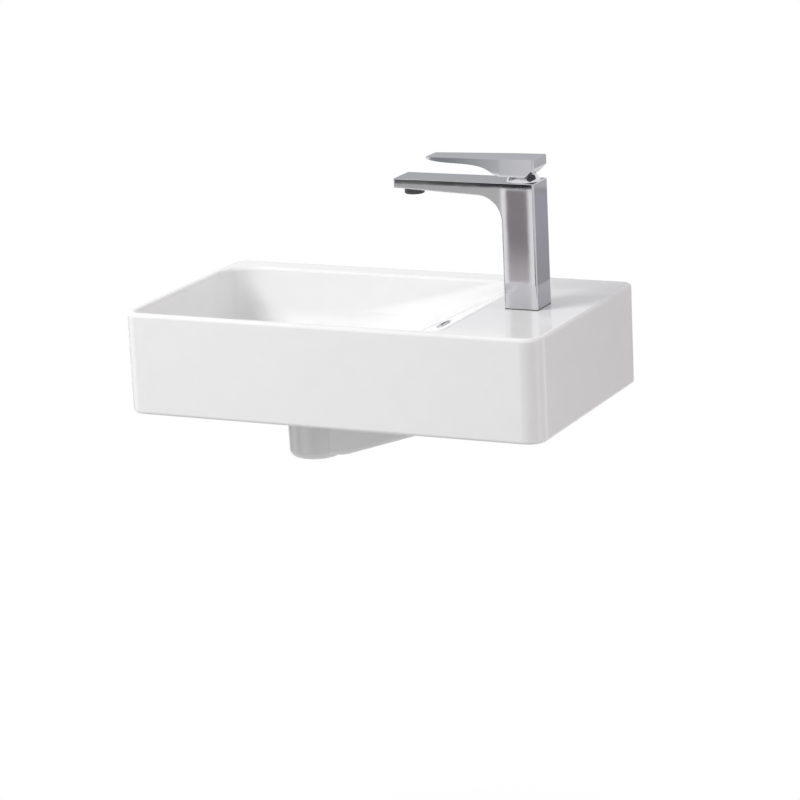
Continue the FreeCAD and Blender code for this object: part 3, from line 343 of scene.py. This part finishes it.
def card(name, corner, along, across, near, far, reach, feather, strength=1.0):
    """A flat patch with its u and v kept as a UV map, and its paper on it."""
    points, parameters = flat_patch(corner, along, across, CARD_STEPS)
    made = new_object(name, points, grid_faces(CARD_STEPS + 1, CARD_STEPS + 1))
    layer = made.data.uv_layers.new(name="card")
    corners = np.empty(len(made.data.loops), dtype=np.int32)
    made.data.loops.foreach_get("vertex_index", corners)
    layer.data.foreach_set("uv", parameters.reshape(-1, 2)[corners].ravel())
    size = (Vector(along).length, Vector(across).length)
    made.data.materials.append(card_paper(name + "_paper", near, far, reach, size, feather,
                                          strength))
    hide_but_in_mirrors(made)
    return made


print("a card has", CARD_STEPS ** 2, "faces")

# %% [markdown]
# ## Where the cards stand
# Each row of the table is one card. Its place comes from a ray: from the camera to a face of
# the tap or of the deck, and off it as from a mirror, to where the card has to be. The dark
# strip in the front of the spout, the brown-grey band down the column and the grey right-hand
# side each need one. Lengths are in metres.

# %% Stand the cards round the tap
CARDS = {
    # name: (corner, along u, across v, colour at u = 0, colour from reach on, reach, feather,
    #        and the glow where it isn't 1)
    # in the column's front, brown-grey turning darker upwards
    "column_card": ((0.1025, -0.300, 0.078), (0.0, 0.0, 0.1120), (0.0315, 0.0, 0.0),
                    "#C4BEBE", "#948F90", 0.5, 0.005),
    # in the spout's front and the curve under it
    "spout_card": ((-0.060, -0.300, 0.100), (0.160, 0.0, 0.0), (0.0, 0.0, 0.0900),
                   "#BCBCBC", "#C6C6C4", 1.0, 0.003),
    # the dark line along the top of the spout's front
    "black_card": ((-0.060, -0.299, 0.1882), (0.200, 0.0, 0.0), (0.0, 0.0, 0.0110),
                   "#646464", "#222126", 1.0, 0.0012),
    # in the lever's front, paler towards the column
    "lever_card": ((-0.0150, -0.300, 0.2010), (0.1650, 0.0, 0.0), (0.0, 0.0, 0.045),
                   "#8E9296", "#E2E2E2", 1.0, 0.003),
    # in the column's right-hand side
    "right_card": ((0.270, 0.100, 0.030), (0.0, 0.0, 0.132), (0.065, 0.0, 0.0),
                   "#A4A4A4", "#ACAAB6", 1.0, 0.006),
    # in the lever's right-hand end
    "lever_end_card": ((0.270, 0.100, 0.163), (0.0, 0.0, 0.060), (0.065, 0.0, 0.0),
                       "#BEBEC0", "#C6C6C8", 1.0, 0.006),
    # in the tops of the spout and the lever
    "top_card": ((-0.120, 0.100, 0.250), (0.0, 0.0, 0.090), (0.240, 0.0, 0.0),
                 "#B4B5B8", "#C8CCCF", 1.0, 0.006),
    # in the glaze of the deck
    "deck_card": ((-0.090, 0.100, 0.119), (0.350, 0.0, 0.0), (0.0, 0.0, 0.068),
                  "#DEDEE2", "#DCDCE0", 1.0, 0.010),
    # in the glaze at the back of the deck
    "deck_back_card": ((0.100, 0.101, 0.092), (0.190, 0.0, 0.0), (0.0, 0.0, 0.036),
                       "#D4D4D8", "#CECED2", 1.0, 0.008),
    # a dark card whose reflection paints the shade of the gap under the lever on the dome
    "dome_painted_shade_card": ((0.210, -0.300, 0.400), (0.320, 0.0, 0.0), (0.0, 0.420, 0.0),
                  "#4A494B", "#4A494B", 1.0, 0.030),
    # in whatever faces up, from higher views
    "ceiling_card": ((-0.450, -0.360, 0.550), (0.900, 0.0, 0.0), (0.0, 0.700, 0.0),
                     "#8E8E92", "#D0D0D4", 1.0, 0.060),
    # in the round front right corner of the basin
    "corner_card": ((-0.050, -1.600, -0.750), (1.550, 0.0, 0.0), (0.0, 0.0, 0.590),
                    "#4A494B", "#4A494B", 1.0, 0.120),
    # stands in for the large soft box
    "soft_box_front": ((-2.05, -0.88, 2.60), (0.90, -1.04, 0.0), (0.0, 0.0, -0.80),
                       "#FFFFFF", "#FFFFFF", 1.0, 0.250, 1.8),
}
cards = [card(name, *values) for name, values in CARDS.items()]
print(len(cards), "cards")

# %% [markdown]
# ## A curtain all round
# From other sides the tap needs something to show as well. More cards would each serve one
# view, so a glowing curtain stands 2.2 m off all round, again in mirrors alone, with the light
# and shade of pleats painted on it from grey to white. This painted brightness is a cosine of
# the angle round the room, which gives chrome its broad light and dark bands, and it fades to
# white at the top.

# %% Hang the curtain
CURTAIN_RADIUS = 2.2
CURTAIN_TOP = 0.45
CURTAIN_ROUND = 96
CURTAIN_ROWS = 5


def curtain_wall(radius, bottom, top, steps, rows):
    """Point(u, v) goes round a circle with u and from the bottom to the top with v."""
    u, v = np.meshgrid(np.linspace(0.0, 2.0 * np.pi, steps, endpoint=False),
                       np.linspace(bottom, top, rows), indexing="ij")
    return np.stack((radius * np.cos(u), radius * np.sin(u), v), axis=-1)


wall = curtain_wall(CURTAIN_RADIUS, FLOOR_LEVEL, CURTAIN_TOP, CURTAIN_ROUND, CURTAIN_ROWS)
curtain = new_object("curtain", wall, grid_faces(*wall.shape[:2], closed=True))
hide_but_in_mirrors(curtain)
print("curtain has", len(curtain.data.polygons), "faces")

# %% Paint the curtain's glowing pleat light and shade
PLEATS = 7
BRIGHT_PLEAT = math.radians(-114.0)
CURTAIN_FADE = 0.25
CURTAIN_GLOW = 1.15

curtain_painted_pleat_light, tree, output = new_material("curtain_painted_pleat_light")
axes = add_node(tree, "ShaderNodeSeparateXYZ",
                Vector=add_node(tree, "ShaderNodeTexCoord").outputs["Object"])
angle = add_node(tree, "ShaderNodeMath", {"operation": "ARCTAN2"}, _0=axes.outputs["Y"],
                 _1=axes.outputs["X"])
turned = add_node(tree, "ShaderNodeMath", {"operation": "MULTIPLY_ADD"}, _0=angle.outputs[0],
                  _1=float(PLEATS), _2=-PLEATS * BRIGHT_PLEAT)
# painted light and shade of the pleats: a cosine of the angle round the room, grey to white
pleat = add_node(tree, "ShaderNodeMath", {"operation": "COSINE"}, _0=turned.outputs[0])
lit = add_node(tree, "ShaderNodeMapRange", Value=pleat.outputs[0], From_Min=-1.0)
tint = add_node(tree, "ShaderNodeMix", {"data_type": "RGBA"}, _0=lit.outputs[0],
                _6=linear("#8A898D"), _7=linear("#FFFFFF"))
glow = add_node(tree, "ShaderNodeEmission", Color=tint.outputs[2], Strength=CURTAIN_GLOW)
clear = add_node(tree, "ShaderNodeBsdfTransparent")
height = add_node(tree, "ShaderNodeMapRange", {"interpolation_type": "SMOOTHSTEP"},
                  Value=axes.outputs["Z"], From_Min=CURTAIN_TOP - CURTAIN_FADE,
                  From_Max=CURTAIN_TOP)
both = add_node(tree, "ShaderNodeMixShader", _0=height.outputs[0], _1=glow.outputs[0],
                _2=clear.outputs[0])
tree.links.new(both.outputs[0], output.inputs["Surface"])
curtain.data.materials.append(curtain_painted_pleat_light)
print("curtain of", PLEATS, "pleats")

# %% [markdown]
# ## Glazed vitreous china
# The basin is vitreous china: clay cast in plaster, sprayed with a white glaze and fired. The
# glaze is glass about half a millimetre thick, so the surface is bright and mirror-smooth with
# a very slight ripple. A clear coat over a matt base would do too, but one plain surface with
# the refraction of glass gives the same sheen and exports as it is. The ripple is real: a
# sprayed glaze pulls itself level over a few centimetres.

# %% The glaze
GLAZE_RIPPLE = 26.0 * MILLIMETRE
GLAZE_RIPPLE_DEPTH = 2.0 * MILLIMETRE


def glaze_surface(tree, place):
    """Two near whites, a low roughness and a shallow wave, all from one broad noise."""
    ripple = add_node(tree, "ShaderNodeTexNoise", Vector=place, Scale=1.0 / GLAZE_RIPPLE,
                      Detail=2.0, Roughness=0.4)
    tint = add_node(tree, "ShaderNodeMix", {"data_type": "RGBA"}, _0=ripple.outputs["Fac"],
                    _6=linear("#F1F1F0"), _7=linear("#F5F5F4"))
    wave = add_node(tree, "ShaderNodeBump", Strength=0.02, Distance=GLAZE_RIPPLE_DEPTH,
                    Height=ripple.outputs["Fac"])
    shine = add_node(tree, "ShaderNodeMapRange", Value=ripple.outputs["Fac"], To_Min=0.05,
                     To_Max=0.09)
    return add_node(tree, "ShaderNodeBsdfPrincipled", Base_Color=tint.outputs[2],
                    Roughness=shine.outputs[0], IOR=1.52, Normal=wave.outputs[0])


print("ripple every", round(GLAZE_RIPPLE / MILLIMETRE), "mm")

# %% [markdown]
# ## Bare fired clay
# Where the glaze is wiped off, the fired clay is warm, matt and faintly sandy. Its grains are
# about 0.2 mm across, too fine to show from the camera, so they are drawn three times as wide.

# %% The clay
CLAY_GRAIN = 0.6 * MILLIMETRE
CLAY_GRAIN_DEPTH = 0.2 * MILLIMETRE


def clay_surface(tree, place):
    """Two warm greys and a rough bump from one fine noise, with hardly any sheen."""
    grain = add_node(tree, "ShaderNodeTexNoise", Vector=place, Scale=1.0 / CLAY_GRAIN,
                     Detail=4.0, Roughness=0.6)
    tint = add_node(tree, "ShaderNodeMix", {"data_type": "RGBA"}, _0=grain.outputs["Fac"],
                    _6=linear("#D8D2C8"), _7=linear("#E6E1D8"))
    rough = add_node(tree, "ShaderNodeBump", Strength=0.3, Distance=CLAY_GRAIN_DEPTH,
                     Height=grain.outputs["Fac"])
    return add_node(tree, "ShaderNodeBsdfPrincipled", Base_Color=tint.outputs[2],
                    Roughness=0.85, IOR=1.45, Normal=rough.outputs[0])


print("grain of", CLAY_GRAIN / MILLIMETRE, "mm")

# %% [markdown]
# ## Where the glaze stops
# The glaze is wiped off the flat back, which meets the wall, and off the foot of the skirt, on
# which the basin stands in the kiln. Two materials on picked faces could show that, but the
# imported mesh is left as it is, so one material finds both places itself, from the height or
# depth in Object coordinates and the way the surface faces.

# %% Wiped places and the whole china
SKIRT_FOOT = -0.030
WIPED_WITHIN = 0.5 * MILLIMETRE
SQUARE_ON = 0.98


def wiped_places(tree, place):
    """1 on the back plane where it faces +Y and on the foot's plane where it faces down."""
    slope = add_node(tree, "ShaderNodeNewGeometry").outputs["Normal"]
    facing = add_node(tree, "ShaderNodeSeparateXYZ", Vector=slope)
    spots = add_node(tree, "ShaderNodeSeparateXYZ", Vector=place)
    faces_wall = add_node(tree, "ShaderNodeMath", {"operation": "GREATER_THAN"},
                          _0=facing.outputs["Y"], _1=SQUARE_ON)
    at_wall = add_node(tree, "ShaderNodeMath", {"operation": "GREATER_THAN"},
                       _0=spots.outputs["Y"], _1=-WIPED_WITHIN)
    back = add_node(tree, "ShaderNodeMath", {"operation": "MULTIPLY"},
                    _0=faces_wall.outputs[0], _1=at_wall.outputs[0])
    faces_down = add_node(tree, "ShaderNodeMath", {"operation": "LESS_THAN"},
                          _0=facing.outputs["Z"], _1=-SQUARE_ON)
    at_foot = add_node(tree, "ShaderNodeMath", {"operation": "COMPARE"},
                       _0=spots.outputs["Z"], _1=SKIRT_FOOT, _2=WIPED_WITHIN)
    foot = add_node(tree, "ShaderNodeMath", {"operation": "MULTIPLY"},
                    _0=faces_down.outputs[0], _1=at_foot.outputs[0])
    wiped = add_node(tree, "ShaderNodeMath", {"operation": "MAXIMUM"}, _0=back.outputs[0],
                     _1=foot.outputs[0])
    return wiped.outputs[0]


china, tree, output = new_material("vitreous_china_white_glaze")
place = add_node(tree, "ShaderNodeTexCoord").outputs["Object"]
glaze, clay = glaze_surface(tree, place), clay_surface(tree, place)
both = add_node(tree, "ShaderNodeMixShader", _0=wiped_places(tree, place),
                _1=glaze.outputs[0], _2=clay.outputs[0])
tree.links.new(both.outputs[0], output.inputs["Surface"])
print(china.name, "has", len(china.node_tree.nodes), "nodes")

# %% [markdown]
# ## Bright chrome plate
# The mixer is brass under nickel and a fraction of a micron of chrome. Chrome is a bluish
# white metal that mirrors the room; buffing before the plating leaves a faint waviness, and
# wiping leaves patches that are a little duller. The buffing also breaks every sharp edge by
# a fraction of a millimetre. Cutting that into the mesh would cost many faces, and the packed
# mesh stays as it is, so a bevel in the shading catches the light there.

# %% Chrome
BUFFING_WAVE = 14.0 * MILLIMETRE
BUFFING_DEPTH = 1.0 * MILLIMETRE
WIPE_PATCH = 30.0 * MILLIMETRE
EDGE_WEAR = 0.3 * MILLIMETRE
EDGE_SAMPLES = 4

chrome, tree, output = new_material("polished_chrome_plate")
place = add_node(tree, "ShaderNodeTexCoord").outputs["Object"]
wave = add_node(tree, "ShaderNodeTexNoise", Vector=place, Scale=1.0 / BUFFING_WAVE, Detail=1.0)
patch = add_node(tree, "ShaderNodeTexNoise", Vector=place, Scale=1.0 / WIPE_PATCH, Detail=5.0,
                 Roughness=0.55)
dull = add_node(tree, "ShaderNodeMapRange", Value=patch.outputs["Fac"], To_Min=0.03,
                To_Max=0.10)
tint = add_node(tree, "ShaderNodeMix", {"data_type": "RGBA"}, _0=patch.outputs["Fac"],
                _6=linear("#D2D2D6"), _7=linear("#DCDCDF"))
edge = add_node(tree, "ShaderNodeBevel", {"samples": EDGE_SAMPLES}, Radius=EDGE_WEAR)
lean = add_node(tree, "ShaderNodeBump", Strength=0.02, Distance=BUFFING_DEPTH,
                Height=wave.outputs["Fac"], Normal=edge.outputs["Normal"])
metal = add_node(tree, "ShaderNodeBsdfPrincipled", Base_Color=tint.outputs[2], Metallic=1.0,
                 Roughness=dull.outputs[0], Normal=lean.outputs[0])
tree.links.new(metal.outputs[0], output.inputs["Surface"])
print(chrome.name, "has", len(chrome.node_tree.nodes), "nodes")

# %% [markdown]
# ## The plainer finishes
# The pieces below the deck and inside the column are machined brass, zinc plated steel,
# moulded rubber, moulded plastic and lapped alumina. Each could have a material of its own,
# but they differ only in numbers, so one function makes them from a table: two close colours,
# a range of roughness and a bump from one noise. The grain is the real size of its pattern,
# such as cutter marks on brass or crystals of zinc, drawn two to four times as coarse where
# the real one is under a quarter of a millimetre and would not show.

# %% Machined brass, zinc plated steel, rubber, plastics and alumina
GRAIN_DEPTH = 0.3 * MILLIMETRE
FINISHES = {
    # name: (dark, light, metallic, roughness low, roughness high, IOR, grain in mm, bump)
    "machined_brass": ("#B08A45", "#C9A45C", 1.0, 0.22, 0.36, None, 0.5, 0.10),
    "zinc_plated_steel": ("#8E9296", "#A7ABAE", 1.0, 0.30, 0.45, None, 3.0, 0.05),
    "moulded_black_rubber": ("#141414", "#1E1E1E", 0.0, 0.62, 0.78, 1.50, 0.8, 0.10),
    "moulded_black_plastic": ("#4A4A4B", "#58585A", 0.0, 0.35, 0.48, 1.49, 0.7, 0.08),
    "moulded_grey_plastic": ("#8F9294", "#9C9FA1", 0.0, 0.22, 0.32, 1.53, 1.5, 0.03),
    "moulded_acetal": ("#DEDCD2", "#E8E6DD", 0.0, 0.38, 0.50, 1.48, 1.2, 0.05),
    "lapped_alumina": ("#DAD3C8", "#E4DED4", 0.0, 0.18, 0.26, 1.76, 0.9, 0.02),
}


def grained_finish(name, dark, light, metallic, low, high, refraction, grain, bump):
    """Two close colours, a roughness range and a bump, all from one noise of the grain's size."""
    made, tree, output = new_material(name)
    place = add_node(tree, "ShaderNodeTexCoord").outputs["Object"]
    speck = add_node(tree, "ShaderNodeTexNoise", Vector=place,
                     Scale=1.0 / (grain * MILLIMETRE), Detail=3.0)
    tint = add_node(tree, "ShaderNodeMix", {"data_type": "RGBA"}, _0=speck.outputs["Fac"],
                    _6=linear(dark), _7=linear(light))
    dull = add_node(tree, "ShaderNodeMapRange", Value=speck.outputs["Fac"], To_Min=low,
                    To_Max=high)
    lean = add_node(tree, "ShaderNodeBump", Strength=bump, Distance=GRAIN_DEPTH,
                    Height=speck.outputs["Fac"])
    solid = add_node(tree, "ShaderNodeBsdfPrincipled", Base_Color=tint.outputs[2],
                     Metallic=metallic, Roughness=dull.outputs[0], Normal=lean.outputs[0])
    if refraction:  # a metal keeps the default
        solid.inputs["IOR"].default_value = refraction
    tree.links.new(solid.outputs[0], output.inputs["Surface"])
    return made


finishes = {name: grained_finish(name, *values) for name, values in FINISHES.items()}
finishes[china.name] = china
finishes[chrome.name] = chrome
print(sorted(finishes))

# %% [markdown]
# ## A finish for every solid
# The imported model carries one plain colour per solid. Each is swapped for the finish that the
# real piece has: china for the basin, chrome for what the hand and the eye meet, and the plain
# finishes for what is hidden. A table keeps the choice in one place.

# %% Give every solid its finish
NODE_FINISH = {
    "basin": "vitreous_china_white_glaze",
    "overflow_ring": "polished_chrome_plate",
    "tap_body": "polished_chrome_plate",
    "dome_cover": "polished_chrome_plate",
    "lever_handle": "polished_chrome_plate",
    "aerator_sleeve": "moulded_black_plastic",
    "aerator_washer": "moulded_black_rubber",
    "aerator_insert": "moulded_black_plastic",
    "inlet_shank": "machined_brass",
    "base_gasket": "moulded_black_rubber",
    "clamp_gasket": "moulded_black_rubber",
    "clamp_plate": "zinc_plated_steel",
    "fixing_studs": "machined_brass",
    "fixing_nuts": "machined_brass",
    "cartridge_base": "moulded_acetal",
    "cartridge_seals": "moulded_black_rubber",
    "cartridge_housing": "moulded_acetal",
    "housing_seal": "moulded_black_rubber",
    "fixed_disc": "lapped_alumina",
    "retaining_nut": "machined_brass",
    "turret": "moulded_acetal",
    "pivot_pin": "zinc_plated_steel",
    "spindle": "machined_brass",
    "set_screw": "zinc_plated_steel",
    "index_plug": "moulded_grey_plastic",
    "moving_disc": "lapped_alumina",
    "disc_carrier": "moulded_acetal",
}
for name, solid in nodes.items():
    solid.data.materials.clear()
    solid.data.materials.append(finishes[NODE_FINISH[name]])
print(len(nodes), "solids finished")

# %% [markdown]
# ## Threads on the two fixing studs
# The mixer is drawn down on to the deck by two 6 mm studs with a 1 mm thread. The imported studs
# are plain rods, so each gets its thread here. A screw modifier on a tooth's profile would
# leave open ends, and a boolean cut many slivers, so the surface is a formula instead: it goes
# round the rod and up it, and its radius dips in a triangle wave that climbs one pitch in one
# turn. The ends are turned to a 45 degree chamfer, so that a nut starts on them.

# %% The shape of a threaded rod
STUD_RADIUS = 3.0 * MILLIMETRE
THREAD_PITCH = 1.0 * MILLIMETRE
THREAD_DEPTH = 0.55 * MILLIMETRE
STUD_CHAMFER = 0.8 * MILLIMETRE
ROUND_STEPS = 20
STEPS_PER_PITCH = 6


def threaded_rod(place, bottom, top):
    """The radius is the rod's less the depth times a triangle wave of height / pitch - turn,
    and at each end no more than a chamfer allows; a point on the axis closes each end."""
    rings = int(round((top - bottom) / THREAD_PITCH)) * STEPS_PER_PITCH + 1
    turn, height = np.meshgrid(np.linspace(0.0, 1.0, ROUND_STEPS, endpoint=False),
                               np.linspace(bottom, top, rings), indexing="ij")
    wave = np.abs(2.0 * np.mod(height / THREAD_PITCH - turn, 1.0) - 1.0)
    from_end = np.minimum(height - bottom, top - height)
    reach = np.minimum(STUD_RADIUS - THREAD_DEPTH * wave, STUD_RADIUS - STUD_CHAMFER + from_end)
    reach = np.pad(reach, ((0, 0), (1, 1)))
    height = np.pad(height, ((0, 0), (1, 1)), "edge")
    angle = 2.0 * np.pi * np.pad(turn, ((0, 0), (1, 1)), "edge")
    return np.stack((place[0] + reach * np.cos(angle), place[1] + reach * np.sin(angle), height),
                    axis=-1)


low, high = (np.array(corner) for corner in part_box("fixing_studs"))
middle = (low[1] + high[1]) / 2.0
rods = [threaded_rod((x, middle), low[2], high[2])
        for x in (low[0] + STUD_RADIUS, high[0] - STUD_RADIUS)]
print("a rod is a grid of", rods[0].shape[:2], "points")

# %% Make the studs and weld their ends
WELD_WITHIN = 0.0001 * MILLIMETRE

faces = grid_faces(*rods[0].shape[:2], closed=True)
rod_points = rods[0].shape[0] * rods[0].shape[1]
studs = new_object("threaded_studs", np.concatenate([rod.reshape(-1, 3) for rod in rods]),
                   np.concatenate((faces, faces + rod_points)))
welded = bmesh.new()
welded.from_mesh(studs.data)
bmesh.ops.remove_doubles(welded, verts=welded.verts, dist=WELD_WITHIN)
welded.to_mesh(studs.data)
welded.free()
studs.data.materials.append(finishes["machined_brass"])
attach(studs, "body")
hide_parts("fixing_studs")
print("studs have", len(studs.data.polygons), "faces")
